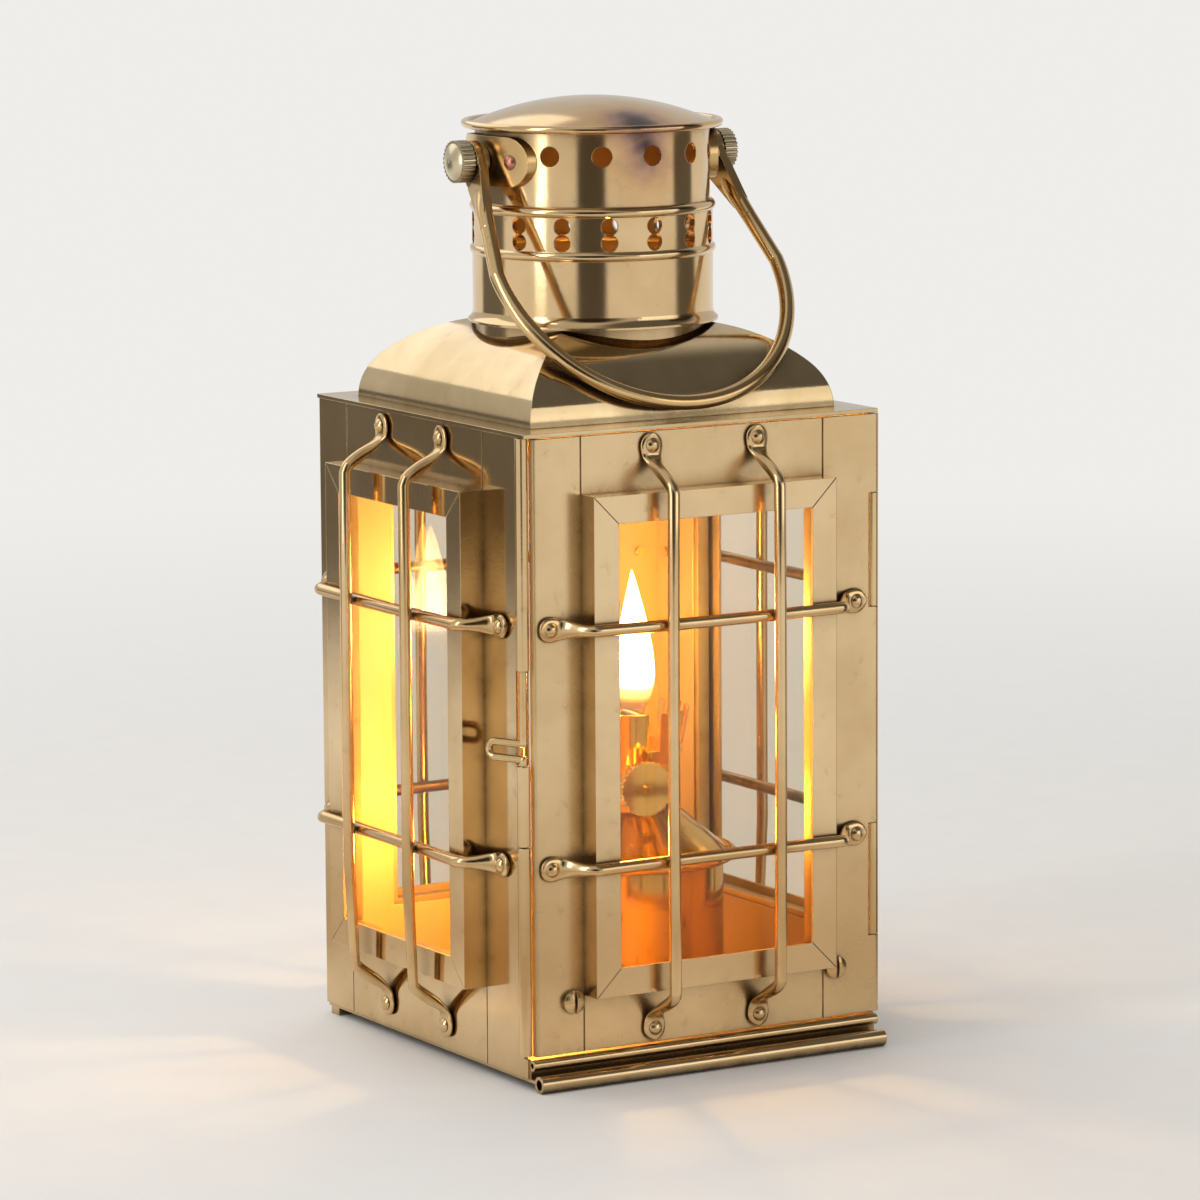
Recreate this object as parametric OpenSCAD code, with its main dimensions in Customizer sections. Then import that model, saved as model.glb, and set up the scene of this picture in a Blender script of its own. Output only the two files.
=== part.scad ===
// Square brass oil lantern: four glazed and guarded walls, a hinged door, a vaulted hood with a round
// chimney, a swinging bail and a flat-wick lamp standing inside. Millimetres, +Z up, the door faces -Y.
// The origin lies on the ground under the middle of the case.

/* [Case] */
// Width of the door and the rear wall beside a window frame
front_stile = 15.5; // [14:0.5:20]
// Width of the side walls beside a window frame
side_stile = 17.5; // [16:0.5:22]
// Height of the walls above a window frame
head_rail = 14.5; // [13:0.5:18]
// Height of the walls below a window frame
foot_rail = 19.2; // [18:0.2:24]
// Thickness of the brass sheet
sheet = 0.8; // [0.6:0.1:1]
// Gap between parts that move past each other
clear = 0.4; // [0.3:0.05:0.6]
// Radial play of a pin in its bore
fit = 0.05; // [0.02:0.01:0.09]
// How far the side windows sit behind the middle of the case
side_shift = 3; // [0:0.5:4]

/* [Floor and sill] */
// Outside radius of the rolled front edge of the floor
front_roll_r = 2.1; // [1.8:0.1:2.4]
// How far the rolled front edge lies before the door face
front_roll_out = 4; // [3.5:0.1:6]
// Width of the flat foot under the rear edge of the floor
foot_w = 4; // [3:0.5:8]
// Outside radius of the rolled sill under the door
sill_r = 1.35; // [1:0.05:1.5]
// How far the floor's underside lies below the middle of the front roll
roll_drop = 0.1; // [0.05:0.05:0.3]
// How far the floor's side edges stay inside the walls
floor_inset = 0.4; // [0.2:0.1:0.6]

/* [Windows] */
// Width of a raised window frame
frame_w = 69; // [60:1:80]
// Height of a raised window frame
frame_h = 122.5; // [110:0.5:138]
// How far a frame stands out from its wall
frame_out = 6.3; // [5.5:0.1:7]
// Width of the frame's front face round the glass
flange = 6.9; // [5:0.1:8]
// Thickness of a glass pane
pane_t = 2.2; // [1.8:0.1:2.6]
// Play of a pane in its frame
pane_gap = 0.3; // [0.2:0.1:0.5]
// How far the wall laps behind the glazing strip
lap = 3.2; // [2:0.1:4]
// Width of a glazing strip
strip_w = 4.4; // [4:0.1:6]
// Width of the seams between stiles and rails
seam_w = 0.4; // [0.3:0.05:0.5]
// Depth of the seams
seam_d = 0.3; // [0.2:0.05:0.35]

/* [Guards] */
// Radius of the guard wire
wire_r = 1.5; // [1.2:0.05:1.6]
// Spacing of the two upright wires
upright_gap = 30; // [24:1:34]
// How far the cross wires' eyes lie inside the edge of the door
cross_inset = 6.3; // [6:0.1:7.5]
// Spacing of the two cross wires
cross_gap = 58.5; // [48:0.5:66]
// Upper eyes below the top of the wall
eye_drop = 3.7; // [3.5:0.1:4.5]
// Lower eyes above the foot of a fixed wall
eye_rise = 6.1; // [5:0.1:7]
// Radius of a flattened eye
eye_r = 3.1; // [2.8:0.1:3.3]
// Thickness of a flattened eye
eye_t = 1.4; // [1.2:0.1:1.8]
// Radius of a wire's bends
bend_r = 3; // [2.5:0.1:3.5]
// Radius of a rivet shank
rivet_r = 0.8; // [0.6:0.05:0.9]
// Radius of the ball that a rivet head is part of
rivet_ball = 2.2; // [2:0.05:2.4]
// Height of a rivet head
rivet_rise = 1; // [0.8:0.05:1.2]
// Length of the rivet tail inside the wall
rivet_tail = 0.6; // [0.4:0.05:0.8]
// Spread of the rivet tail against its shank
tail_spread = 1.6; // [1.3:0.1:1.9]

/* [Door] */
// Height of the door's foot above the floor plate
sill_h = 5.2; // [4.9:0.1:6]
// Outside radius of the rolled hinge and catch tubes
tube_r = 1.6; // [1.5:0.05:1.8]
// Radius of the hinge pin and the catch wire
pin_r = 0.9; // [0.7:0.05:1]
// Radius of the rolled bead on the free edge of the door
bead_r = 1.3; // [1:0.05:1.4]
// Length of the knuckles at the ends of the hinge
end_knuckle = 19.5; // [16:0.5:24]
// Length of the two knuckles of the case
case_knuckle = 28.6; // [24:0.2:34]
// Gap between neighbouring knuckles
knuckle_gap = 0.3; // [0.2:0.05:0.4]
// Radius of the glazing screws' heads
screw_head_r = 2.9; // [2.4:0.1:3.2]
// Height of the glazing screws' heads
screw_head_h = 2; // [1.5:0.1:2.4]
// Radius of the glazing screws' shanks
screw_r = 1.3; // [1:0.1:1.5]

/* [Catch] */
// Lower end of the upper catch tube
catch_top = 102.9; // [98:0.1:106]
// Upper end of the middle catch tube
catch_low = 79.6; // [76:0.1:82]
// Joint between the middle and the lower catch tube
catch_joint = 59.7; // [54:0.1:64]
// Reach of the finger loop from the axis of the catch
loop_reach = 11; // [9:0.5:13]
// Height between the two legs of the finger loop
loop_h = 3.8; // [3:0.1:4.5]
// Rise of the loop above the middle tube
loop_rise = 1.6; // [1.4:0.1:2.4]
// Length of wire held in each catch tube
catch_hold = 14; // [10:1:18]
// Angle of the loop outwards from the side wall
loop_out = 25; // [22:1:40]
// Width of the cut in the wall's edge beside the loop
catch_cut = 3.4; // [3:0.1:4.5]

/* [Roof] */
// Thickness of the top plate
plate_t = 1; // [0.8:0.1:1.5]
// Overhang of the top plate past the walls
plate_over = 0.4; // [0:0.1:1]
// How far the foot of the hood stays inside the side walls
hood_in = 6.6; // [5:0.2:8]
// Height of the hood
hood_h = 21; // [19:0.5:22]
// Radius of the hood's shoulder
shoulder_r = 16; // [14:0.5:17]
// Half the width of the hood where its sides run level
crown_half = 15.4; // [12:0.2:17]
// How far the top plate reaches in under the hood
hood_lap = 2.4; // [1.5:0.1:3]

/* [Chimney] */
// Outside radius of the chimney drum
drum_r = 30; // [28:0.5:31]
// Outside radius of the neck set into the hood
neck_r = 29.4; // [27.5:0.1:29.4]
// Length of the neck below the skirt
neck_h = 8; // [6:0.5:10]
// How far the skirt flares past the drum
skirt_out = 1.2; // [0.8:0.1:1.5]
// Height of the skirt
skirt_h = 3; // [2:0.2:4]
// How far the skirt sits below the crown of the hood
skirt_sink = 0.3; // [0:0.05:0.3]
// Radius of the rolled beads
drum_bead = 1.3; // [0.8:0.1:1.4]
// Lower bead above the foot of the drum
low_bead = 17.9; // [15:0.1:20]
// Upper bead above the foot of the drum
high_bead = 28.6; // [27:0.1:30]
// Height of the drum up to the cap
drum_h = 48.6; // [46:0.2:54]
// Radius of the paired vent holes
vent_r = 2.1; // [1.8:0.1:2.3]
// Spacing of a vent's upper and lower hole
vent_pair = 4; // [3.4:0.1:4.4]
// Number of vents round the drum
vents = 16; // [12:2:18]
// Radius of the holes under the cap
port_r = 2.5; // [2:0.1:2.8]
// Height of the holes under the cap above the foot of the drum
port_z = 42.3; // [40:0.1:44]
// Number of places for these holes round the drum
ports = 14; // [10:2:16]
// Outside radius of the cap
cap_r = 32.6; // [32:0.2:35]
// Rise of the cap's dome above its rim
cap_rise = 7; // [5:0.5:10]
// Radius of the cap's rolled rim
cap_rim = 1; // [0.8:0.1:1.4]

/* [Bail] */
// Height of the bail's pivot above the foot of the drum
pivot_z = 40.7; // [38.5:0.1:42]
// Gap between the resting bail and the hood's shoulder
bail_gap = 0.6; // [0.4:0.1:2]
// Reach of the bail from its pivot to the middle of the rod
bail_reach = 74.5; // [73:0.5:78]
// Radius of the bail's rod
bail_r = 1.9; // [1.6:0.1:2]
// Radius of the bail's bow
bow_r = 40; // [38:0.5:42]
// Radius of the bail's flattened eyes
bail_eye_r = 5; // [4.5:0.1:5.4]
// Thickness of the bail's eyes
bail_eye_t = 2.4; // [2:0.1:3]
// Length of the forged blade between an eye and the rod
blade_l = 13; // [10:0.5:16]
// Radius of the pivot studs
stud_r = 2; // [1.6:0.1:2.4]
// Thickness of the shoulder on a stud
stud_flange = 1.4; // [1:0.1:1.8]
// Thickness of a bracket strap
strap_t = 2.2; // [1.6:0.1:2.6]
// Length of a bracket strap round the drum
strap_w = 31; // [28:0.5:34]
// Height of a bracket strap
strap_h = 12.4; // [11:0.2:13]
// Rivets from the middle of a strap
strap_pitch = 10.5; // [9:0.1:11]
// Radius of the knurled knobs
knob_r = 5.2; // [4.6:0.1:5.6]
// Length of the knurled knobs
knob_t = 5; // [4:0.1:6]
// Number of grooves round a knob
knurls = 28; // [20:1:32]
// Radius of a knob's grooves
knurl_r = 0.35; // [0.25:0.05:0.4]
// Height of a knob's domed face
knob_dome = 1.5; // [1:0.1:2]
// Thickness of the metal that closes a knob's bore
knob_face = 1; // [0.8:0.1:1.4]

/* [Lamp] */
// Place of the lamp to the right of the middle
lamp_x = 12.5; // [0:0.5:16]
// Place of the lamp behind the middle
lamp_y = 3; // [-5:0.5:8]
// Turn of the lamp about its axis
lamp_turn = -7; // [-30:1:20]
// Radius of the oil font
font_r = 23; // [20:0.5:24]
// Height of the font's wall
font_h = 39.5; // [34:0.5:42]
// Radius of the font's rounded foot
font_foot = 4; // [2:0.5:6]
// Radius of the brim
brim_r = 26.4; // [25.5:0.1:28]
// Radius of the brim's rolled edge
brim_roll = 1.3; // [1:0.1:1.6]
// Rise of the conical shoulder from the brim to the collar
cone_rise = 12; // [10:0.5:14]
// Outside radius of the burner's collar
collar_r = 11; // [10:0.5:12]
// Height of the burner's collar
collar_h = 2.4; // [2:0.2:4]
// Radius of the burner's cup
cup_r = 12.2; // [11:0.2:13]
// Height of the burner's cup
cup_h = 10; // [9:0.5:12]
// Height of the gallery's prongs
prong_h = 13; // [10:0.5:15]
// Spread of the prongs past the cup
prong_out = 2.4; // [1.5:0.1:3]
// Number of prongs
prongs = 8; // [6:1:12]
// Width of the slots between prongs
prong_slot = 3.4; // [2.5:0.1:4.5]
// Width of the wick
wick_w = 11; // [9:0.5:13]
// Thickness of the wick
wick_t = 1.8; // [1.4:0.1:2.2]
// Length of wick showing above its tube
wick_show = 1.5; // [1:0.5:4]
// How far the wick can be wound down
wick_drop = 6; // [4:0.5:7]
// Height of the wick tube above the cup
wick_tube_h = 10; // [8:0.5:12]
// Play of the wick in its tube
wick_gap = 0.4; // [0.3:0.05:0.6]
// Radius of the wick sprockets over their teeth
sprocket_r = 3; // [2.6:0.1:3.2]
// Thickness of a sprocket
sprocket_t = 1.2; // [1:0.1:1.6]
// Teeth on a sprocket
teeth = 10; // [8:1:14]
// Radius of the winder spindle
spindle_r = 1; // [0.8:0.05:1.2]
// Radius of the thumbwheel
wheel_r = 7; // [6:0.5:7.5]
// Thickness of the thumbwheel
wheel_t = 1.8; // [1.4:0.1:2.4]
// Reach of the thumbwheel's back from the lamp's axis
wheel_reach = 17; // [16:0.5:20]
// How far the spindle shows before the thumbwheel
spindle_tip = 0.8; // [0.4:0.1:1.5]

/* [Hidden] */
$fn = 64;

brass = [0.80, 0.63, 0.30];
glass = [0.85, 0.92, 0.92, 0.35];
cotton = [0.86, 0.82, 0.72];
eps = 0.05;

// Case, built out from the window frames
body_w = frame_w + 2 * front_stile;
body_d = frame_w + 2 * side_stile;
floor_z = front_roll_r - roll_drop + sheet;
frame_mid = floor_z + foot_rail + frame_h / 2;
wall_top = frame_mid + frame_h / 2 + head_rail;
door_z = floor_z + sill_h;

// Case corners: the rolled tubes lie flush behind the door's face
corner_y = -body_d / 2 + tube_r;
bore_r = pin_r + fit;
cut_back = tube_r + clear;
door_top = wall_top - clear;
hinge_low = door_z + end_knuckle;
hinge_high = door_top - end_knuckle;
bead_x = -body_w / 2 + tube_r + clear + bead_r;
tube_foot = door_z + clear;
sill_top = door_z - clear;
sill_back = -body_d / 2 + sill_r / 2;

// Windows: the pane lies behind the frame's face and the glazing strip behind the pane
window_w = frame_w - 2 * flange;
window_h = frame_h - 2 * flange;
pane_w = frame_w - 2 * sheet - 2 * pane_gap;
pane_h = frame_h - 2 * sheet - 2 * pane_gap;
pane_y = frame_out - sheet - pane_t;
hole_w = frame_w - 2 * sheet - 2 * lap;
hole_h = frame_h - 2 * sheet - 2 * lap;

// Guards: cross wires lie on the frame, uprights over the cross wires
wire_touch = 0.1;
cross_y = frame_out + wire_r + wire_touch;
upright_y = cross_y + 2 * wire_r + wire_touch;
cross_half = body_w / 2 - cross_inset;
cross_levels = [frame_mid - cross_gap / 2, frame_mid + cross_gap / 2];
eye_high = wall_top - eye_drop;
wall_eye_low = floor_z + eye_rise;
door_eye_low = door_z + eye_drop;

// Hood: two arcs that meet smoothly, from an upright foot to a level crown
plate_top = wall_top + plate_t;
hood_half = body_w / 2 - hood_in;
arc_in = hood_half - shoulder_r - crown_half;
arc_r = (arc_in * arc_in + hood_h * hood_h - shoulder_r * shoulder_r) / (2 * (hood_h - shoulder_r));
arc_z = hood_h - arc_r;
meet_z = -arc_z * shoulder_r / (arc_r - shoulder_r);

// Chimney and bail
drum_z = plate_top + hood_h - skirt_sink;
rim_z = drum_z + drum_h;
top_r = drum_r - sheet;
port_margin = 4;
axle_z = drum_z + pivot_z;
strap_x = top_r + strap_t;
eye_x = strap_x + stud_flange + clear;
knob_x = eye_x + bail_eye_t + clear;
bow_z = bow_r - bail_reach;
// The resting bail leans out from straight down until it clears the hood's shoulder
shoulder_at = [hood_half - shoulder_r, axle_z - plate_top];
bail_lean = atan2(shoulder_at[0], shoulder_at[1]) + asin((shoulder_r + bail_r + bail_gap) / norm(shoulder_at));

// Lamp levels, upwards from the floor
brim_z = floor_z + font_h + brim_roll;
collar_z = brim_z + cone_rise;
cup_z = collar_z + collar_h;
deck_z = cup_z + cup_h;
tube_top = deck_z + wick_tube_h;
spindle_z = cup_z + cup_h / 2;
spindle_x = -(sprocket_r + clear + wick_t / 2);
wick_tube_wall = 0.6;
tooth_gap = 0.45;

// A slab on a wall, centred on the window, from y0 to y1 outwards
module slab(w, h, y0, y1) {
    translate([-w / 2, y0, frame_mid - h / 2]) cube([w, y1 - y0, h]);
}

// Puts a wall-local shape, +y outwards, on one of the four sides
module on_side(side) {
    if (side == "door") translate([0, -body_d / 2, 0]) rotate(180) children();
    if (side == "rear") translate([0, body_d / 2, 0]) children();
    if (side == "left") translate([-body_w / 2, side_shift, 0]) rotate(90) children();
    if (side == "right") mirror([1, 0, 0]) translate([-body_w / 2, side_shift, 0]) rotate(90) children();
}

// Places of the eight guard eyes as [x, z], given the lower eyes' height
function eye_places(low) = concat(
    [for (x = [-1, 1], z = [low, eye_high]) [x * upright_gap / 2, z]],
    [for (x = [-1, 1], z = cross_levels) [x * cross_half, z]]
);

// Everything cut from a wall's sheet: the window, the rivet holes and the seams beside the frame
module wall_cuts(low, foot) {
    slab(hole_w, hole_h, -2 * sheet, sheet);
    for (p = eye_places(low))
        translate([p[0], 0, p[1]]) rotate([90, 0, 0]) cylinder(r = rivet_r, h = 4 * sheet, center = true);
    for (x = [-1, 1]) {
        translate([x * frame_w / 2 - seam_w / 2, -seam_d, frame_mid + frame_h / 2])
            cube([seam_w, sheet, wall_top - frame_mid - frame_h / 2 + sheet]);
        translate([x * frame_w / 2 - seam_w / 2, -seam_d, foot - sheet])
            cube([seam_w, sheet, frame_mid - frame_h / 2 - foot + sheet]);
    }
}

module window_frame() {
    color(brass) difference() {
        slab(frame_w, frame_h, 0, frame_out);
        slab(frame_w - 2 * sheet, frame_h - 2 * sheet, -sheet, frame_out - sheet);
        slab(window_w, window_h, 0, 2 * frame_out);
        // Mitred corners
        for (x = [-1, 1], z = [-1, 1])
            translate([x * frame_w / 2, frame_out, frame_mid + z * frame_h / 2])
                rotate([0, x * z * 45, 0])
                    cube([seam_w / 2, 2 * seam_d, 4 * flange], center = true);
    }
}

module window_pane() {
    color(glass) slab(pane_w, pane_h, pane_y, pane_y + pane_t);
}

module glazing_strip() {
    color(brass) difference() {
        slab(pane_w, pane_h, 0, pane_y);
        slab(pane_w - 2 * strip_w, pane_h - 2 * strip_w, -sheet, pane_y + sheet);
    }
}

// A round rod between two points of the plane x = 0
module rod(p, q, r) {
    d = q - p;
    translate([0, p[0], p[1]]) rotate([-atan2(d[0], d[1]), 0, 0]) cylinder(r = r, h = norm(d));
}

// One half of a guard wire, along z from its eye at -half: a lean, a bend and a straight run
module half_wire(half, straight, out) {
    start = eye_r - wire_r / 2;
    root = wire_r - wire_touch;
    along = half - start - straight;
    rise = out - bend_r - root;
    // The lean touches the bend's circle
    tilt = atan2(rise, along) + asin(bend_r / norm([rise, along]));
    lean = sqrt(rise * rise + along * along - bend_r * bend_r);
    difference() {
        union() {
            translate([0, 0, -half]) rotate([-90, 0, 0]) cylinder(r = eye_r, h = eye_t);
            translate([0, root, start - half]) rotate([-tilt, 0, 0]) cylinder(r = wire_r, h = lean + 2 * eps);
            translate([0, out - bend_r, -straight]) rotate([0, -90, 0]) rotate([0, 0, 90])
                rotate_extrude(angle = tilt) translate([bend_r, 0]) circle(r = wire_r + eps);
            translate([0, out, -straight - 2 * eps]) cylinder(r = wire_r, h = straight + 3 * eps);
        }
        translate([0, 0, -half]) rotate([90, 0, 0]) cylinder(r = rivet_r, h = 4 * eye_t, center = true);
    }
}

// A whole wire, which runs straight over the window frame
module guard_wire(half, straight, out) {
    color(brass) for (end = [0, 1]) mirror([0, 0, end]) half_wire(half, straight, out);
}

module uprights(low) {
    mid = (low + eye_high) / 2;
    straight = frame_h / 2 + abs(frame_mid - mid) + wire_touch;
    for (x = [-1, 1]) translate([x * upright_gap / 2, 0, mid])
        guard_wire((eye_high - low) / 2, straight, upright_y);
}

module crossbars() {
    for (z = cross_levels) translate([0, 0, z]) rotate([0, 90, 0])
        guard_wire(cross_half, frame_w / 2 + wire_touch, cross_y);
}

// A dome-headed rivet along +y, its head at the height of the seat and its tail below the grip
module rivet(seat, grip) {
    rotate([-90, 0, 0]) {
        translate([0, 0, -rivet_tail - grip]) cylinder(r = rivet_r, h = seat + rivet_tail + grip);
        translate([0, 0, -rivet_tail - grip]) cylinder(r = tail_spread * rivet_r, h = rivet_tail);
        intersection() {
            translate([0, 0, seat - rivet_ball + rivet_rise]) sphere(r = rivet_ball);
            translate([0, 0, seat]) cylinder(r = rivet_ball, h = 2 * rivet_rise);
        }
    }
}

module guard_rivets(low) {
    color(brass) for (p = eye_places(low)) translate([p[0], 0, p[1]]) rivet(eye_t, sheet);
}

// An upright rolled tube on the corner axis of one side, with its bore left to the caller
module corner_tube(x, low, high) {
    translate([x, corner_y, low]) cylinder(r = tube_r, h = high - low);
}

module corner_bore(x) {
    translate([x, corner_y, sill_top]) cylinder(r = bore_r, h = 2 * wall_top);
}

// The floor: a plate with a hollow rolled pull in front and a flat folded foot behind
module floor_plate() {
    roll_y = -body_d / 2 - front_roll_out;
    half = body_w / 2 - floor_inset;
    color(brass) difference() {
        union() {
            translate([-half, roll_y, floor_z - sheet])
                cube([2 * half, body_d / 2 - sheet / 2 - roll_y, sheet]);
            translate([-half, roll_y, front_roll_r]) rotate([0, 90, 0])
                cylinder(r = front_roll_r, h = 2 * half);
            translate([-half, body_d / 2 - 2 * sheet - foot_w, 0]) cube([2 * half, foot_w, floor_z]);
        }
        translate([-body_w, roll_y, front_roll_r]) rotate([0, 90, 0])
            cylinder(r = front_roll_r - sheet, h = 2 * body_w);
    }
}

// The sill: a folded strip on the floor with a rolled upper edge under the door
module front_sill() {
    half = body_w / 2 - floor_inset;
    sill_z = sill_top - sill_r;
    sill_y = sill_back - sill_r;
    color(brass) difference() {
        union() {
            translate([-half, sill_y, sill_z]) rotate([0, 90, 0]) cylinder(r = sill_r, h = 2 * half);
            translate([-half, sill_y + sill_r - sheet, floor_z]) cube([2 * half, sheet, sill_z - floor_z]);
        }
        translate([-body_w, sill_y, sill_z]) rotate([0, 90, 0]) cylinder(r = sill_r / 2, h = 2 * body_w);
    }
}

// Plain sheet of the left wall, up to the corner axis, with a foot that reaches the sill
module side_sheet() {
    translate([-body_w / 2, corner_y, floor_z])
        cube([sheet, body_d / 2 - corner_y, wall_top - floor_z]);
    translate([-body_w / 2, sill_back, floor_z]) cube([sheet, body_d / 4, sill_top - floor_z]);
}

// Cuts a side wall's front edge back from the corner over a stretch of height
module edge_cut(side, low, high, depth) {
    translate([side * body_w / 2 - 2 * sheet, corner_y - tube_r, low])
        cube([4 * sheet, tube_r + depth, high - low]);
}

// The left wall carries the three catch tubes along its front edge
module left_wall() {
    color(brass) difference() {
        union() {
            difference() {
                side_sheet();
                edge_cut(-1, catch_low, catch_top, catch_cut);
            }
            corner_tube(-body_w / 2, catch_top, wall_top);
            corner_tube(-body_w / 2, catch_joint + knuckle_gap, catch_low);
            corner_tube(-body_w / 2, tube_foot, catch_joint);
        }
        corner_bore(-body_w / 2);
        on_side("left") wall_cuts(wall_eye_low, floor_z);
    }
}

// The right wall carries two of the hinge's knuckles along its front edge
module right_wall() {
    color(brass) difference() {
        union() {
            difference() {
                mirror([1, 0, 0]) side_sheet();
                edge_cut(1, hinge_high, wall_top + sheet, cut_back);
                edge_cut(1, hinge_low + case_knuckle, hinge_high - case_knuckle, cut_back);
                edge_cut(1, sill_top, hinge_low, cut_back);
            }
            corner_tube(body_w / 2, hinge_low + knuckle_gap / 2, hinge_low + case_knuckle - knuckle_gap / 2);
            corner_tube(body_w / 2, hinge_high - case_knuckle + knuckle_gap / 2, hinge_high - knuckle_gap / 2);
        }
        corner_bore(body_w / 2);
        on_side("right") wall_cuts(wall_eye_low, floor_z);
    }
}

module rear_wall() {
    color(brass) difference() {
        translate([-body_w / 2 + sheet, body_d / 2 - sheet, floor_z])
            cube([body_w - 2 * sheet, sheet, wall_top - floor_z]);
        on_side("rear") wall_cuts(wall_eye_low, floor_z);
    }
}

// The door leaf: a sheet with a bead on its free edge and three hinge knuckles rolled from the other
module door_leaf() {
    hinge_x = body_w / 2;
    face_y = -body_d / 2;
    color(brass) difference() {
        union() {
            difference() {
                translate([bead_x, face_y, door_z]) cube([hinge_x - bead_x, sheet, door_top - door_z]);
                for (z = [hinge_low, hinge_high - case_knuckle])
                    translate([hinge_x - cut_back, face_y - sheet, z])
                        cube([2 * tube_r, 3 * sheet, case_knuckle]);
            }
            translate([bead_x, face_y + bead_r, door_z]) cylinder(r = bead_r, h = door_top - door_z);
            corner_tube(hinge_x, door_z, hinge_low - knuckle_gap / 2);
            corner_tube(hinge_x, hinge_low + case_knuckle + knuckle_gap / 2,
                hinge_high - case_knuckle - knuckle_gap / 2);
            corner_tube(hinge_x, hinge_high + knuckle_gap / 2, door_top);
        }
        corner_bore(hinge_x);
        on_side("door") wall_cuts(door_eye_low, door_z);
        on_side("door") for (p = screw_places())
            translate([p[0], 0, p[1]]) rotate([90, 0, 0]) cylinder(r = screw_r, h = 8 * sheet, center = true);
    }
}

// The pin runs the length of the hinge
module hinge_pin() {
    color(brass) translate([body_w / 2, corner_y, door_z]) cylinder(r = pin_r, h = door_top - door_z);
}

// Two slotted screws beside the foot of the door frame
function screw_places() = [for (x = [-1, 1])
    [x * (frame_w / 2 + screw_head_r + seam_w), frame_mid - frame_h / 2 - screw_r]];

module door_screws() {
    color(brass) on_side("door") for (p = screw_places()) translate([p[0], 0, p[1]]) rotate([-90, 0, 0])
        difference() {
            union() {
                translate([0, 0, -2 * sheet]) cylinder(r = screw_r, h = 2 * sheet);
                intersection() {
                    cylinder(r = screw_head_r, h = 2 * screw_head_h);
                    translate([0, 0, screw_head_h - 2 * screw_head_r]) sphere(r = 2 * screw_head_r);
                }
            }
            translate([0, 0, screw_head_h])
                cube([sheet, 3 * screw_head_r, screw_head_h], center = true);
        }
}

// The catch: one wire turning in the corner tubes, bent into a finger loop between them
module catch() {
    low = catch_low + loop_rise;
    high = low + loop_h;
    turn = loop_h / 2;
    reach = loop_reach - turn - pin_r;
    path_up = [[0, high], [0, catch_top + catch_hold]];
    path_down = [[0, catch_low - catch_hold], [0, low]];
    color(brass) translate([-body_w / 2, corner_y, 0]) rotate(loop_out) {
        rod(path_up[0], path_up[1], pin_r);
        rod(path_down[0], path_down[1], pin_r);
        for (z = [low, high]) {
            translate([0, 0, z]) sphere(r = pin_r);
            rod([0, z], [reach, z], pin_r);
        }
        translate([0, reach, low + turn]) rotate([0, 90, 0]) rotate_extrude(angle = 180)
            translate([turn, 0]) circle(r = pin_r);
    }
}

// The top plate closes the walls and leaves a square opening under the hood
module top_plate() {
    w = body_w + 2 * plate_over;
    d = body_d + 2 * plate_over;
    open = 2 * (hood_half - hood_lap);
    color(brass) difference() {
        translate([-w / 2, -d / 2, wall_top]) cube([w, d, plate_t]);
        translate([-open / 2, -open / 2, wall_top - plate_t]) cube([open, open, 3 * plate_t]);
    }
}

// Half section of the hood, drawn in by a wall thickness
module hood_section(wall) {
    for (side = [0, 1]) mirror([side, 0]) {
        intersection() {
            translate([crown_half, arc_z]) circle(r = arc_r - wall);
            translate([0, meet_z]) square([2 * hood_half, hood_h]);
        }
        intersection() {
            translate([crown_half + arc_in, 0]) circle(r = shoulder_r - wall);
            translate([0, -wall]) square([2 * hood_half, meet_z + 2 * wall]);
        }
        translate([0, -wall]) square([crown_half + arc_in, meet_z + 2 * wall]);
        translate([0, -wall]) square([crown_half, hood_h]);
    }
}

// The hood's full form: two barrel vaults that cross
module hood_form(wall) {
    length = 3 * hood_half;
    intersection() {
        rotate([90, 0, 0]) linear_extrude(height = length, center = true) hood_section(wall);
        rotate([90, 0, 90]) linear_extrude(height = length, center = true) hood_section(wall);
    }
}

module hood() {
    color(brass) translate([0, 0, plate_top]) difference() {
        hood_form(0);
        hood_form(sheet);
        translate([0, 0, -hood_h]) cylinder(r = neck_r, h = 3 * hood_h);
        translate([-body_w, -body_w, -hood_h]) cube([2 * body_w, 2 * body_w, hood_h]);
    }
}

// Angles round the drum, from straight ahead, at which neither bracket covers a hole
function clear_of_brackets(a) = abs(abs(a) - 90) > asin(strap_w / 2 / drum_r) + port_margin;

// Turns a shape drawn along +z so that it points outwards at an angle round the drum
module round_drum(angle, z) {
    translate([0, 0, z]) rotate([0, 0, angle]) translate([0, 2 * sheet - top_r, 0]) rotate([90, 0, 0]) children();
}

module drum_hole(angle, z, r) {
    round_drum(angle, z) cylinder(r = r, h = drum_r - top_r + strap_t + 4 * sheet);
}

// Section of the drum's wall: neck, flared skirt, body with two beads, and the upper stage
module drum_section() {
    inner = top_r - sheet;
    translate([inner, -neck_h]) square([neck_r - inner, neck_h + skirt_h]);
    polygon([[inner, 0], [drum_r, 0], [drum_r, high_bead], [top_r, high_bead], [top_r, drum_h], [inner, drum_h]]);
    difference() {
        translate([inner, 0]) square([drum_r + skirt_out - inner, skirt_h]);
        translate([drum_r + skirt_h, skirt_h]) circle(r = skirt_h);
    }
    for (z = [low_bead, high_bead]) translate([drum_r - drum_bead / 2, z]) circle(r = drum_bead);
}

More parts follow.
